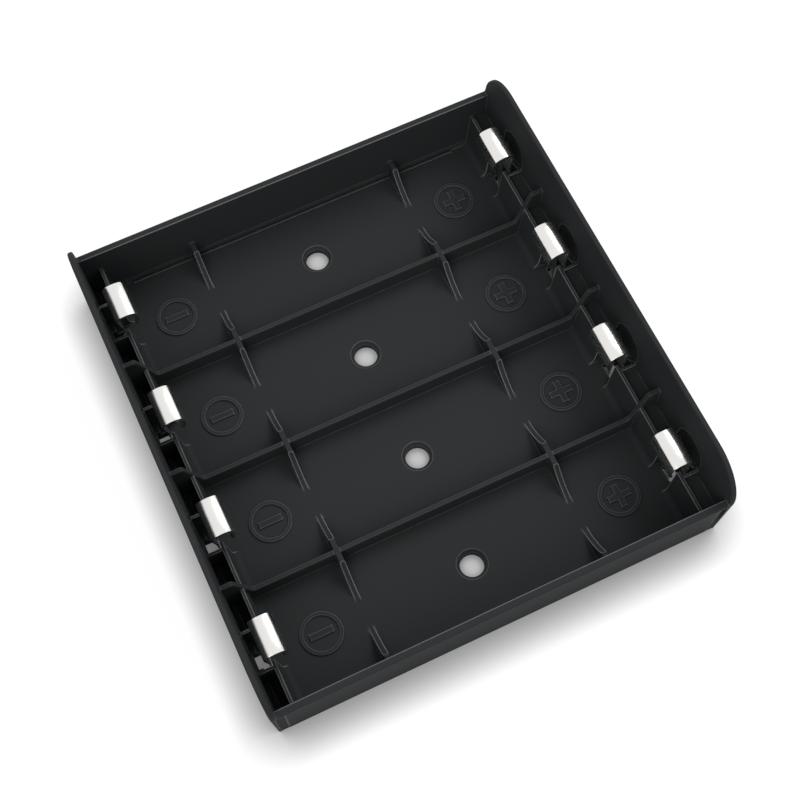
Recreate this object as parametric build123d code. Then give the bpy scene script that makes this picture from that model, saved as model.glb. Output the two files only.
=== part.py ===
from build123d import *
import os
from math import radians, sqrt, tan

# Battery cell holder bracket: a moulded tray for four cells in a row, with a sprung
# strip contact at each end of every bay. X runs along the cells from the minus end to
# the plus end, Y across the bays, Z up. The origin is the middle of the underside.
# Lengths are in millimetres and angles in degrees.

# the cells it holds
cell_diameter = 21.0
cell_length = 70.0
cell_count = 4
cell_gap = 1.0

# tray walls
floor_thickness = 1.8
side_wall_height = 12.5
end_wall_height = 20.7
side_wall_foot = 0.95
end_wall_foot = 1.0
side_clearance = 0.3
end_room = 5.5
side_inner_draft = 2.0
side_outer_draft = 3.0
end_inner_draft = 1.95
end_outer_draft = 1.65
end_corner_radius = 8.2
end_rim_round = 0.3
side_rim_round = 0.35
corner_groove_width = 1.5
corner_groove_depth = 0.8
corner_groove_below_rim = 0.9
foot_bevel = 0.35
foot_bevel_start = -34.3
step_at_end_foot = 1.0
step_height = 1.2

# dividers between the bays
divider_thickness = 0.9
divider_height = 4.0
shoulder_height = 12.0
shoulder_from_end_wall = 1.8
shoulder_lean = 2.8
shoulder_round = 0.8
divider_edge_round = 0.2

# cradle fins under the cells
fin_thickness = 1.0
fin_edge_round = 0.25
fin_height = 4.3
fin_from_middle = 20.4
cradle_clearance = 0.25

# contact seats
lip_setback = 2.4
lip_thickness = 0.6
lip_height = 8.0
ramp_foot = 1.6
ramp_round = 1.3
plus_pocket_height = 7.0
lip_return = 0.9
seat_width = 6.8
seat_rib_thickness = 0.5
slot_width = 2.9
slot_length = 2.4
recess_half_width = 3.65
recess_depth = 0.45
recess_arch_height = 9.9

# screw holes, one in the floor of every bay
hole_diameter = 4.3
countersink_diameter = 5.5

# contacts: nickel-plated spring strip
strip_thickness = 0.4
contact_width = 6.9
leg_width = 1.8
leg_to_lip = 0.1
curl_radius = 2.1
curl_top = 14.5
contact_preload = 0.3
leaf_drop = 2.6
leg_above_underside = 0.3
wide_above_ribs = 0.35

cell_radius = cell_diameter / 2
bay_pitch = cell_diameter + cell_gap
bay_centres = [((cell_count - 1) / 2 - bay) * bay_pitch for bay in range(cell_count)]
divider_centres = [centre - bay_pitch / 2 for centre in bay_centres[:-1]]
inner_half_width = bay_centres[0] + cell_radius + side_clearance
inner_half_length = cell_length / 2 + end_room
cell_axis = floor_thickness + cell_radius
rim_top = floor_thickness + side_wall_height
end_top = floor_thickness + end_wall_height
beyond = 60.0


def side_inner(z):
    return inner_half_width + (z - floor_thickness) * tan(radians(side_inner_draft))


def side_outer(z):
    return inner_half_width + side_wall_foot + z * tan(radians(side_outer_draft))


def end_inner(z):
    return inner_half_length + (z - floor_thickness) * tan(radians(end_inner_draft))


def end_outer(z):
    return inner_half_length + end_wall_foot + z * tan(radians(end_outer_draft))


def outline(half, low, high):
    points = [(-half(low), low), (half(low), low), (half(high), high), (-half(high), high)]
    return make_face(Polyline(*points, close=True))


def along_x(sketch, low, high):
    return extrude(Plane.YZ.offset(low) * sketch, amount=high - low)


def along_y(sketch, low, high):
    return extrude(Plane.XZ.offset(-high) * sketch, amount=high - low)


def block(x_low, x_high, y_low, y_high, z_low, z_high):
    size = (x_high - x_low, y_high - y_low, z_high - z_low)
    middle = ((x_low + x_high) / 2, (y_low + y_high) / 2, (z_low + z_high) / 2)
    return Pos(*middle) * Box(*size)


def end_block(end, x_low, x_high, y_low, y_high, z_low, z_high):
    ends = sorted((end * x_low, end * x_high))
    return block(ends[0], ends[1], y_low, y_high, z_low, z_high)


def rounded(shape, radius, chosen):
    # falls back to sharp edges where a radius cannot be carried round
    if not chosen:
        return shape
    try:
        return fillet(chosen, radius)
    except Exception:
        print("left sharp:", len(chosen), "edges at", radius)
        return shape


# shell: floor, low side walls, and tall round-cornered end walls
end_plate = outline(side_outer, 0, end_top)
top_corners = end_plate.vertices().sort_by(Axis.Y)[-2:]
end_plate = fillet(top_corners, end_corner_radius)
shell = along_x(end_plate, -beyond, beyond)
shell &= along_y(outline(end_outer, 0, end_top), -beyond, beyond)
cavity = along_x(outline(side_inner, floor_thickness, end_top + 5), -beyond, beyond)
cavity &= along_y(outline(end_inner, floor_thickness, end_top + 5), -beyond, beyond)
shell -= cavity
shell -= along_y(outline(end_inner, rim_top, end_top + 5), -beyond, beyond)

# rims, softened while the shell is still plain
end_rims = shell.edges().filter_by(lambda e: e.center().Z > rim_top + 4)
end_rims = end_rims.filter_by(lambda e: abs(e.tangent_at(0.5).X) < 0.5)
shell = rounded(shell, end_rim_round, end_rims)
rim_y = side_outer(rim_top)
rim_corner = Pos(rim_y, rim_top) * Rectangle(2 * side_rim_round, 2 * side_rim_round)
rim_corner -= Pos(rim_y - side_rim_round, rim_top - side_rim_round) * Circle(side_rim_round)
rim_end = end_inner(rim_top)
shell -= along_x(rim_corner, -rim_end, rim_end)
shell -= along_x(mirror(rim_corner, Plane.YZ), -rim_end, rim_end)

# shadow grooves up the side walls beside the end walls
groove_end = end_outer(0) - 0.45
for end in (-1, 1):
    for side in (-1, 1):
        y_ends = sorted((side * (side_outer(rim_top) - corner_groove_depth), side * beyond))
        shell -= end_block(
            end, groove_end - corner_groove_width, groove_end,
            y_ends[0], y_ends[1], -1, rim_top - corner_groove_below_rim,
        )

# bevel along the foot of the side walls
bevel_end = inner_half_length - lip_setback - 0.7
bevel = make_face(Polyline(
    (0, -0.5), (foot_bevel + 0.05, -0.5), (foot_bevel + 0.05, 1.0), (foot_bevel, 1.0), (0, 0),
    close=True,
))
for side in (-1, 1):
    profile = Pos(side * (inner_half_width - foot_bevel), floor_thickness) * (
        bevel if side > 0 else mirror(bevel, Plane.YZ)
    )
    shell += along_x(profile, foot_bevel_start, bevel_end)

# dividers, low under the cells and rising to a shoulder at each end
embed = (end_inner(rim_top) + end_outer(0)) / 2 - 0.1
shoulder_x = inner_half_length - shoulder_from_end_wall
low_x = shoulder_x - shoulder_lean
low_z = floor_thickness + divider_height
high_z = floor_thickness + shoulder_height
divider_face = make_face(Polyline(
    (-embed, floor_thickness / 2), (embed, floor_thickness / 2), (embed, high_z),
    (shoulder_x, high_z), (low_x, low_z), (-low_x, low_z), (-shoulder_x, high_z),
    (-embed, high_z), close=True,
))
turns = [v for v in divider_face.vertices() if v.Y > floor_thickness and abs(v.X) < embed - 1]
divider_face = fillet(turns, shoulder_round)
for centre in divider_centres:
    divider = along_y(divider_face, centre - divider_thickness / 2, centre + divider_thickness / 2)
    tops = [
        e for e in divider.edges()
        if e.center().Z > low_z - 0.1 and abs(e.tangent_at(0.5).Y) < 0.5 and abs(e.center().X) < embed - 0.1
    ]
    shell += rounded(divider, divider_edge_round, tops)

# cradle fins, cut to the cells' curve
fin_plate = make_face(Polyline(
    (-inner_half_width - 0.35, floor_thickness / 2),
    (inner_half_width + 0.35, floor_thickness / 2),
    (inner_half_width + 0.35, floor_thickness + fin_height),
    (-inner_half_width - 0.35, floor_thickness + fin_height),
    close=True,
))
for centre in bay_centres:
    fin_plate -= Pos(centre, cell_axis) * Circle(cell_radius + cradle_clearance)
for middle in (-fin_from_middle, fin_from_middle):
    fin = along_x(fin_plate, middle - fin_thickness / 2, middle + fin_thickness / 2)
    caps = [
        e for e in fin.edges()
        if e.center().Z > floor_thickness + 0.2 and abs(e.tangent_at(0.5).X) < 0.5
        and abs(e.center().Y) < inner_half_width
    ]
    shell += rounded(fin, fin_edge_round, caps)

# contact seats: a lip across each end, two ribs and a slot in the floor behind it
seat_top = floor_thickness + lip_height
lip_back = inner_half_length - lip_setback - 0.1
lip_front = lip_back - lip_thickness
ramp_start = cell_length / 2 + ramp_foot
lip_outline = make_face(Polyline(
    (lip_back, floor_thickness / 2), (lip_back, seat_top), (lip_front, seat_top),
    (ramp_start, floor_thickness), (ramp_start - 3, floor_thickness),
    (ramp_start - 3, floor_thickness / 2), close=True,
))
lip_corner = lip_outline.vertices().sort_by_distance((ramp_start, floor_thickness))[0]
lip_outline = fillet(lip_corner, ramp_round)
lip_wall = along_y(lip_outline, -inner_half_width - 0.3, inner_half_width + 0.3)
raised = block(
    lip_front + 0.1, embed, -inner_half_width - 0.3, inner_half_width + 0.3,
    floor_thickness / 2, floor_thickness + plus_pocket_height,
)
for centre in bay_centres:
    raised -= block(
        lip_back, inner_half_length, centre - seat_width / 2, centre + seat_width / 2,
        floor_thickness, end_top,
    )
shell += raised
for end in (-1, 1):
    shell += lip_wall if end > 0 else mirror(lip_wall, Plane.YZ)
    shell += end_block(
        end, embed - step_at_end_foot - 0.5, embed, -inner_half_width - 0.3,
        inner_half_width + 0.3, floor_thickness / 2, floor_thickness + step_height,
    )
    for centre in bay_centres:
        opening = seat_width / 2 - lip_return
        shell -= end_block(
            end, cell_length / 2 - 1, lip_back, centre - opening, centre + opening,
            floor_thickness, seat_top + 1,
        )
        for side in (-1, 1):
            rib = sorted((side * seat_width / 2, side * (seat_width / 2 + seat_rib_thickness)))
            shell += end_block(
                end, lip_front, embed, centre + rib[0], centre + rib[1],
                floor_thickness / 2, seat_top,
            )
        shell -= end_block(
            end, lip_back, lip_back + slot_length,
            centre - slot_width / 2, centre + slot_width / 2, -1, floor_thickness + step_height + 1,
        )

# arched recess in the end walls behind every contact
arch_z = floor_thickness + recess_arch_height
arch = Pos(0, arch_z) * Circle(recess_half_width)
arch += Pos(0, (seat_top + arch_z) / 2) * Rectangle(2 * recess_half_width, arch_z - seat_top)
recess_back = end_inner(arch_z) + recess_depth
for centre in bay_centres:
    shaped = Pos(centre, 0) * arch
    shell -= along_x(shaped, lip_back, recess_back)
    shell -= along_x(shaped, -recess_back, -lip_back)

# countersunk screw holes
sink_depth = (countersink_diameter - hole_diameter) / 2
for centre in bay_centres:
    shell -= Pos(0, centre, floor_thickness / 2) * Cylinder(hole_diameter / 2, floor_thickness + 2)
    shell -= Pos(0, centre, floor_thickness - sink_depth / 2) * Cone(
        hole_diameter / 2, countersink_diameter / 2, sink_depth
    )

tray = shell.solids().sort_by(SortBy.VOLUME)[-1]

# contact at the plus end: a leg in the slot, a curl over the top and a sprung leaf
half = strip_thickness / 2
leg_x = lip_back + leg_to_lip + half
curl_z = floor_thickness + curl_top - curl_radius
curl_mean = curl_radius - half
belly_x = cell_length / 2 - contact_preload + half
curl_front = belly_x + 0.25
curl_x = curl_front + curl_mean
curl_back = curl_x + curl_mean
neck_z = seat_top + wide_above_ribs
leaf = Spline(
    (curl_front, curl_z), (belly_x, curl_z - leaf_drop / 3), (belly_x + 0.6, curl_z - leaf_drop),
    tangents=[(-0.6, -1), (0.6, -1)],
)
curl = ThreePointArc((curl_front, curl_z), (curl_x, curl_z + curl_mean), (curl_back, curl_z))
back = Spline((curl_back, curl_z), (leg_x, neck_z - 0.3), tangents=[(0, -1), (0, -1)])
leg = Line((leg_x, neck_z - 0.3), (leg_x, leg_above_underside))


def strip(path, low, high):
    profile = trace(path, strip_thickness)
    return along_y(profile, low, high)


wide = strip(Curve() + [leaf, curl, back], -contact_width / 2, contact_width / 2)
wide -= block(leg_x - 0.6, leg_x + 1.5, -10, 10, -1, neck_z)
narrow = strip(Curve() + [back, leg], -leg_width / 2, leg_width / 2)
narrow -= block(leg_x - 1, curl_back + 1, -10, 10, neck_z + 0.5, end_top)
plus_contact = (wide + narrow).solids().sort_by(SortBy.VOLUME)[-1]
minus_contact = mirror(plus_contact, Plane.YZ)

os.makedirs("parts", exist_ok=True)
export_step(tray, "parts/holder_tray.step")
for number, centre in enumerate(bay_centres, start=1):
    export_step(Pos(0, centre, 0) * minus_contact, f"parts/minus_contact_{number}.step")
    export_step(Pos(0, centre, 0) * plus_contact, f"parts/plus_contact_{number}.step")
print("tray", tray.bounding_box().size, "volume", round(tray.volume), "valid", tray.is_valid)
print("contact", plus_contact.bounding_box().size, "volume", round(plus_contact.volume, 1))
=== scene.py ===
import math
import bmesh
import bpy
from mathutils import Matrix, Vector


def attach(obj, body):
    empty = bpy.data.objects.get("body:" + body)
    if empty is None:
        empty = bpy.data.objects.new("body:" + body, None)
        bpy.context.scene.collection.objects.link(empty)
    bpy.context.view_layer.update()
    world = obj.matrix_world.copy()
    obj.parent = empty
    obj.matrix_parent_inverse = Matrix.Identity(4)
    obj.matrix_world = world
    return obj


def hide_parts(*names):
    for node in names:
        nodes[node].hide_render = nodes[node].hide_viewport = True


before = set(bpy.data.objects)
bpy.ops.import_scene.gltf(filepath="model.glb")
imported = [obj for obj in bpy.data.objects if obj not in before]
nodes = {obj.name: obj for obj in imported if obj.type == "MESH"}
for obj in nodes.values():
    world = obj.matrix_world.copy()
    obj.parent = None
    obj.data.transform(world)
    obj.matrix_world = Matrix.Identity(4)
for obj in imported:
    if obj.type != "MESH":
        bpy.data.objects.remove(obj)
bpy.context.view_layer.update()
mm = 0.001

# lengths in the dictionaries below are in mm, and the frame is in metres
tray = {"floorTop": 1.8, "bays": (33.0, 11.0, -11.0, -33.0)}


def linear(value):
    return value / 12.92 if value <= 0.04045 else ((value + 0.055) / 1.055) ** 2.4


def colourOf(code):
    parts = [int(code[i:i + 2], 16) / 255 for i in (1, 3, 5)]
    return tuple(linear(p) for p in parts) + (1.0,)


def addNode(tree, kind, inputs=None, **settings):
    node = tree.nodes.new(kind)
    for name, value in settings.items():
        setattr(node, name, value)
    for name, value in (inputs or {}).items():
        if isinstance(value, bpy.types.NodeSocket):
            tree.links.new(value, node.inputs[name])
        else:
            node.inputs[name].default_value = value
    return node


def newMaterial(name):
    material = bpy.data.materials.new(name)
    material.use_nodes = True
    material.node_tree.nodes.clear()
    return material, material.node_tree


def finishMaterial(tree, shader):
    out = tree.nodes.new("ShaderNodeOutputMaterial")
    tree.links.new(shader.outputs[0], out.inputs["Surface"])


def seenDirectly(tree):
    # 1 for what the camera, a gloss or a clear surface sees, 0 for the light that falls on things
    rays = addNode(tree, "ShaderNodeLightPath")
    seen = addNode(tree, "ShaderNodeMath", {0: rays.outputs["Is Camera Ray"], 1: rays.outputs["Is Glossy Ray"]},
                   operation="MAXIMUM")
    return addNode(tree, "ShaderNodeMath", {0: seen.outputs[0], 1: rays.outputs["Is Transmission Ray"]},
                   operation="MAXIMUM")


# ABS, injection moulded: near black and matt, with a fine even grain, and outer edges lightened in colour as a
# painted highlight
moulding = {
    "colour": "#333536", "edgeHighlightColour": "#8A8E8F", "roughness": 0.6, "specular": 0.03,
    "grain": 0.05, "grainDepth": 0.1, "grainScale": 2600.0, "edgeRound": 0.22, "edgeHighlightRound": 0.42, "cornerReach": 2.0,
}
plastic, tree = newMaterial("blackMouldedAbs")
surface = addNode(tree, "ShaderNodeTexCoord")
grain = addNode(tree, "ShaderNodeTexNoise", {
    "Vector": surface.outputs["Object"], "Scale": moulding["grainScale"], "Detail": 2.0, "Roughness": 0.6,
})
softEdge = addNode(tree, "ShaderNodeBevel", {"Radius": moulding["edgeRound"] * mm}, samples=8)
relief = addNode(tree, "ShaderNodeBump", {
    "Normal": softEdge.outputs["Normal"], "Height": grain.outputs["Fac"], "Strength": moulding["grain"],
    "Distance": moulding["grainDepth"] * mm,
})
# how far the rounded normal leans from the flat one marks an edge, and the open room leaves out inner corners; the
# marked outer edges get a paler colour, a painted highlight
face = addNode(tree, "ShaderNodeNewGeometry")
wideEdge = addNode(tree, "ShaderNodeBevel", {"Radius": moulding["edgeHighlightRound"] * mm}, samples=8)
flat = addNode(tree, "ShaderNodeVectorMath", {0: wideEdge.outputs["Normal"], 1: face.outputs["Normal"]},
               operation="DOT_PRODUCT")
edge = addNode(tree, "ShaderNodeMapRange", {
    "Value": flat.outputs["Value"], "From Min": 0.8, "From Max": 0.99, "To Min": 1.0, "To Max": 0.0,
})
room = addNode(tree, "ShaderNodeAmbientOcclusion", {"Distance": moulding["cornerReach"] * mm}, samples=6)
free = addNode(tree, "ShaderNodeMapRange", {"Value": room.outputs["AO"], "From Min": 0.52, "From Max": 0.82})
paintedEdgeHighlight = addNode(tree, "ShaderNodeMath", {0: edge.outputs[0], 1: free.outputs[0]}, operation="MULTIPLY")
# painted highlight: the paler colour is mixed in along the outer edges
tone = addNode(tree, "ShaderNodeMix", {
    0: paintedEdgeHighlight.outputs[0], 6: colourOf(moulding["colour"]), 7: colourOf(moulding["edgeHighlightColour"]),
}, data_type="RGBA")
shader = addNode(tree, "ShaderNodeBsdfPrincipled", {
    "Base Color": tone.outputs[2], "Roughness": moulding["roughness"], "Specular IOR Level": moulding["specular"],
    "Normal": relief.outputs["Normal"],
})
finishMaterial(tree, shader)

# spring steel, nickel plated: bright, slightly warm, and smooth enough to show the sky as one white band
plating = {"colour": "#E6E5E2", "roughness": 0.2}
nickel, tree = newMaterial("nickelPlatedSpringSteel")
shader = addNode(tree, "ShaderNodeBsdfPrincipled", {
    "Base Color": colourOf(plating["colour"]), "Roughness": plating["roughness"], "Metallic": 1.0,
})
finishMaterial(tree, shader)
print("materials made")


def paint(node, material):
    mesh = node.data
    if mesh.materials:
        for index in range(len(mesh.materials)):
            mesh.materials[index] = material
    else:
        mesh.materials.append(material)


for name, node in nodes.items():
    if name.endswith("tray"):
        paint(node, plastic)
    else:
        paint(node, nickel)
print("frame dressed")


def newPiece(name, shape, material, body):
    # takes a shape in mm and leaves a piece in metres
    bmesh.ops.scale(shape, vec=(mm, mm, mm), verts=shape.verts)
    bmesh.ops.recalc_face_normals(shape, faces=shape.faces)
    mesh = bpy.data.meshes.new(name)
    shape.to_mesh(mesh)
    shape.free()
    piece = bpy.data.objects.new(name, mesh)
    bpy.context.scene.collection.objects.link(piece)
    mesh.materials.append(material)
    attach(piece, body)
    return piece


def steepEdges(shape, degrees):
    return [e for e in shape.edges if e.calc_face_angle(0.0) > math.radians(degrees)]


def roundEdges(shape, edges, amount):
    bmesh.ops.bevel(
        shape, geom=edges, offset=amount, segments=2, profile=0.5, affect="EDGES", material=-1,
    )


# one bent strip: each bend is a radius, the degrees turned and the straight that follows, from the free tip
# over the crown and down to the neck
contact = {
    "thickness": 0.4, "width": 6.9, "legWidth": 1.8, "tip": (35.67, 11.54), "tipHeading": 115, "tipLength": 0.6,
    "tipCorner": 0.45, "neckZ": 10.15, "legLow": 0.3, "edgeRound": 0.1, "stepAngle": 5, "smoothUnder": 40,
    "bends": (
        (4.5, 25, 0.0), (3.0, 30, 0.0), (1.0, 44, 0.0), (4.0, 32, 0.0), (1.0, 74, 0.2),
        (2.0, 12, 2.5), (2.0, -12, 0.0),
    ),
}


def bendStrip(shape, edges, at, heading, radius, degrees):
    # spins the last row of edges about a pivot beside it, and gives the new row, place and heading
    reach = math.copysign(radius, degrees)
    pivot = at + Vector((math.sin(heading), -math.cos(heading))) * reach
    made = bmesh.ops.spin(
        shape, geom=edges, cent=(pivot.x, 0, pivot.y), axis=(0, 1, 0), angle=math.radians(degrees),
        steps=max(2, round(abs(degrees) / contact["stepAngle"])), use_merge=False, use_duplicate=False,
    )
    row = [e for e in made["geom_last"] if isinstance(e, bmesh.types.BMEdge)]
    heading -= math.radians(degrees)
    return row, pivot - Vector((math.sin(heading), -math.cos(heading))) * reach, heading


def pullStrip(shape, edges, at, heading, length):
    # carries the last row of edges straight on, and gives the new row and place
    way = Vector((math.cos(heading), math.sin(heading))) * length
    made = bmesh.ops.extrude_edge_only(shape, edges=edges)["geom"]
    moved = {v for v in made if isinstance(v, bmesh.types.BMVert)}
    bmesh.ops.translate(shape, verts=list(moved), vec=(way.x, 0, way.y))
    row = [e for e in made if isinstance(e, bmesh.types.BMEdge) and all(v in moved for v in e.verts)]
    return row, at + way


def addContact(name, end, bayY, node):
    # three columns wide, and below the neck only the middle one runs on, as the leg in its slot
    c = contact
    shape = bmesh.new()
    at, heading = Vector(c["tip"]), math.radians(c["tipHeading"])
    outer = at + Vector((-math.sin(heading), math.cos(heading))) * c["thickness"] / 2
    row = [
        shape.verts.new((outer.x, y, outer.y))
        for y in (-c["width"] / 2, -c["legWidth"] / 2, c["legWidth"] / 2, c["width"] / 2)
    ]
    tipCorners = [row[0], row[-1]]
    edges = [shape.edges.new(pair) for pair in zip(row, row[1:])]
    edges, at = pullStrip(shape, edges, at, heading, c["tipLength"])
    for radius, degrees, straight in c["bends"]:
        edges, at, heading = bendStrip(shape, edges, at, heading, radius, degrees)
        if straight:
            edges, at = pullStrip(shape, edges, at, heading, straight)
    edges, at = pullStrip(shape, edges, at, heading, at.y - c["neckZ"])
    middle = [e for e in edges if abs(sum(v.co.y for v in e.verts)) < 0.01]
    pullStrip(shape, middle, at, heading, c["neckZ"] - c["legLow"])
    bmesh.ops.bevel(
        shape, geom=tipCorners, offset=c["tipCorner"], segments=3, profile=0.5, affect="VERTICES", material=-1,
    )
    # the sheet is the outer face of the strip, so its faces look out before it gets its thickness
    bmesh.ops.recalc_face_normals(shape, faces=shape.faces)
    crown = max(shape.faces, key=lambda f: f.calc_center_median().z)
    if crown.normal.z < 0:
        bmesh.ops.reverse_faces(shape, faces=shape.faces)
    bmesh.ops.solidify(shape, geom=list(shape.faces), thickness=c["thickness"])
    roundEdges(shape, steepEdges(shape, 60), c["edgeRound"])
    bmesh.ops.scale(shape, vec=(end, 1, 1), verts=shape.verts)
    bmesh.ops.translate(shape, vec=(0, bayY, 0), verts=shape.verts)
    bmesh.ops.recalc_face_normals(shape, faces=shape.faces)
    for face in shape.faces:
        face.smooth = True
    for edge in steepEdges(shape, c["smoothUnder"]):
        edge.smooth = False
    piece = newPiece(name, shape, nickel, node)
    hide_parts(node)


for number, bayY in enumerate(tray["bays"], start=1):
    addContact(f"minusSpring{number}", -1, bayY, f"minus_contact_{number}")
    addContact(f"plusSpring{number}", 1, bayY, f"plus_contact_{number}")
print("spring contacts made")

# raised polarity marks: a ring with a bar or a cross in it, sunk a little into the floor they stand on
marks = {
    "minusX": -28.4, "plusX": 28.7, "ringOuter": 3.85, "ringInner": 3.05, "height": 0.35, "sunk": 0.05,
    "barLength": 4.4, "barWidth": 1.3, "edgeRound": 0.14, "segments": 72,
}


def roundTop(shape, top, amount):
    roundEdges(shape, [e for e in steepEdges(shape, 60) if all(v.co.z > top - 0.01 for v in e.verts)], amount)


def addRing(shape, x, y, low, top):
    corners = ((marks["ringInner"], low), (marks["ringInner"], top), (marks["ringOuter"], top), (marks["ringOuter"], low))
    section = [shape.verts.new((x + across, y, z)) for across, z in corners]
    sides = [shape.edges.new((section[k - 1], section[k])) for k in range(4)]
    bmesh.ops.spin(
        shape, geom=sides + section, cent=(x, y, 0), axis=(0, 0, 1), angle=2 * math.pi, steps=marks["segments"],
        use_merge=True, use_duplicate=False,
    )


def addBar(shape, x, y, low, top, lengths):
    # a square block whose arms are pulled out along X, and along Y too for a cross
    width = marks["barWidth"]
    centre = Vector((x, y, (low + top) / 2))
    block = bmesh.ops.create_cube(shape, size=1.0)["verts"]
    bmesh.ops.scale(shape, vec=(width, width, top - low), verts=block)
    bmesh.ops.translate(shape, vec=centre, verts=block)
    for axis, length in enumerate(lengths):
        for way in (1, -1):
            if length <= width:
                continue
            middle = centre.copy()
            middle[axis] += way * width / 2
            face = min(shape.faces, key=lambda f: (f.calc_center_median() - middle).length)
            end = bmesh.ops.extrude_discrete_faces(shape, faces=[face])["faces"]
            pull = Vector((0, 0, 0))
            pull[axis] = way * (length - width) / 2
            bmesh.ops.translate(shape, verts=end[0].verts, vec=pull)


def addMark(name, x, y, lengths):
    low, top = tray["floorTop"] - marks["sunk"], tray["floorTop"] + marks["height"]
    shape = bmesh.new()
    addRing(shape, x, y, low, top)
    addBar(shape, x, y, low, top, lengths)
    bmesh.ops.recalc_face_normals(shape, faces=shape.faces)
    roundTop(shape, top, marks["edgeRound"])
    newPiece(name, shape, plastic, "tray")


for number, bayY in enumerate(tray["bays"], start=1):
    addMark(f"minusMark{number}", marks["minusX"], bayY, (marks["barLength"], marks["barWidth"]))
    addMark(f"plusMark{number}", marks["plusX"], bayY, (marks["barLength"], marks["barLength"]))
print("polarity marks made")

# a fine bead along the foot of the far side wall
bead = {"length": 66.0, "wallY": 43.25, "width": 0.5, "height": 0.55, "sunk": 0.05, "edgeRound": 0.15}
low, top = tray["floorTop"] - bead["sunk"], tray["floorTop"] + bead["height"]
strip = bmesh.new()
bmesh.ops.create_cube(strip, size=1.0)
bmesh.ops.scale(strip, vec=(bead["length"], bead["width"], top - low), verts=strip.verts)
bmesh.ops.translate(strip, vec=(0, bead["wallY"] - bead["width"] / 2, (low + top) / 2), verts=strip.verts)
roundTop(strip, top, bead["edgeRound"])
newPiece("wallFootBead", strip, plastic, "tray")
print("foot bead made")

# a pale floor that keeps the object's cast shadow in its matt part; its glow reads as white away from the object
# and is dimmed near and under it by occlusion, a painted shadow; sizes here are in metres
stage = {
    "size": 3.0, "drop": 0.00005, "colour": "#7A7A7A", "base": 0.15, "lift": 0.74,
    "shadowReach": 0.0075, "shadowPower": 3.0,
}
ground, tree = newMaterial("paleStudioFloor")
# painted shadow: the glow is dimmed where the object is near, by occlusion raised to a power
near = addNode(tree, "ShaderNodeAmbientOcclusion", {"Distance": stage["shadowReach"]})
near = addNode(tree, "ShaderNodeMath", {0: near.outputs["AO"], 1: stage["shadowPower"]}, operation="POWER")
lift = addNode(tree, "ShaderNodeMath", {0: near.outputs[0], 1: stage["lift"], 2: stage["base"]},
               operation="MULTIPLY_ADD")
lift = addNode(tree, "ShaderNodeMath", {0: lift.outputs[0], 1: seenDirectly(tree).outputs[0]}, operation="MULTIPLY")
glow = addNode(tree, "ShaderNodeEmission", {"Color": (1, 1, 1, 1), "Strength": lift.outputs[0]})
matt = addNode(tree, "ShaderNodeBsdfDiffuse", {"Color": colourOf(stage["colour"])})
finishMaterial(tree, addNode(tree, "ShaderNodeAddShader", {0: matt.outputs[0], 1: glow.outputs[0]}))

sheet = bmesh.new()
bmesh.ops.create_grid(sheet, x_segments=1, y_segments=1, size=stage["size"] / 2)
bmesh.ops.translate(sheet, vec=(0, 0, -stage["drop"]), verts=sheet.verts)
sheetMesh = bpy.data.meshes.new("studioFloor")
sheet.to_mesh(sheetMesh)
sheet.free()
studioFloor = bpy.data.objects.new("studioFloor", sheetMesh)
bpy.context.scene.collection.objects.link(studioFloor)
sheetMesh.materials.append(ground)

lamps = {
    "key": {"place": (0.75, 0.45, 1.0), "size": 0.8, "power": 7.0},
    "fill": {"place": (-0.5, -0.7, 0.75), "size": 1.0, "power": 4.0},
}
for name, lamp in lamps.items():
    data = bpy.data.lights.new(name, "AREA")
    data.shape = "DISK"
    data.size = lamp["size"]
    data.energy = lamp["power"]
    lampObject = bpy.data.objects.new(name, data)
    lampObject.location = lamp["place"]
    lampObject.rotation_euler = (-Vector(lamp["place"])).to_track_quat("-Z", "Y").to_euler()
    bpy.context.scene.collection.objects.link(lampObject)

surround = {"light": 0.5, "white": 1.0}
world = bpy.data.worlds.new("studio")
bpy.context.scene.world = world
world.use_nodes = True
tree = world.node_tree
tree.nodes.clear()
soft = addNode(tree, "ShaderNodeBackground", {"Color": (1, 1, 1, 1), "Strength": surround["light"]})
white = addNode(tree, "ShaderNodeBackground", {"Color": (1, 1, 1, 1), "Strength": surround["white"]})
mix = addNode(tree, "ShaderNodeMixShader", {
    0: seenDirectly(tree).outputs[0], 1: soft.outputs[0], 2: white.outputs[0],
})
out = addNode(tree, "ShaderNodeOutputWorld")
tree.links.new(mix.outputs[0], out.inputs["Surface"])

view = {
    "lens": 64.88, "sensor": 36.0, "place": (-37.56, -92.27, 242.17),
    "right": (0.9048, -0.4255, -0.0153), "forward": (0.1511, 0.3545, -0.9228),
}
lens = bpy.data.cameras.new("view")
lens.lens = view["lens"]
lens.sensor_width = view["sensor"]
camera = bpy.data.objects.new("view", lens)
forward = Vector(view["forward"]).normalized()
up = Vector(view["right"]).cross(forward).normalized()
right = forward.cross(up).normalized()
turn = Matrix((right, up, -forward)).transposed().to_4x4()
camera.matrix_world = Matrix.Translation(Vector(view["place"]) * mm) @ turn
bpy.context.scene.collection.objects.link(camera)
bpy.context.scene.camera = camera
bpy.context.scene.view_settings.view_transform = "Standard"
print("stage, lamps and camera placed")
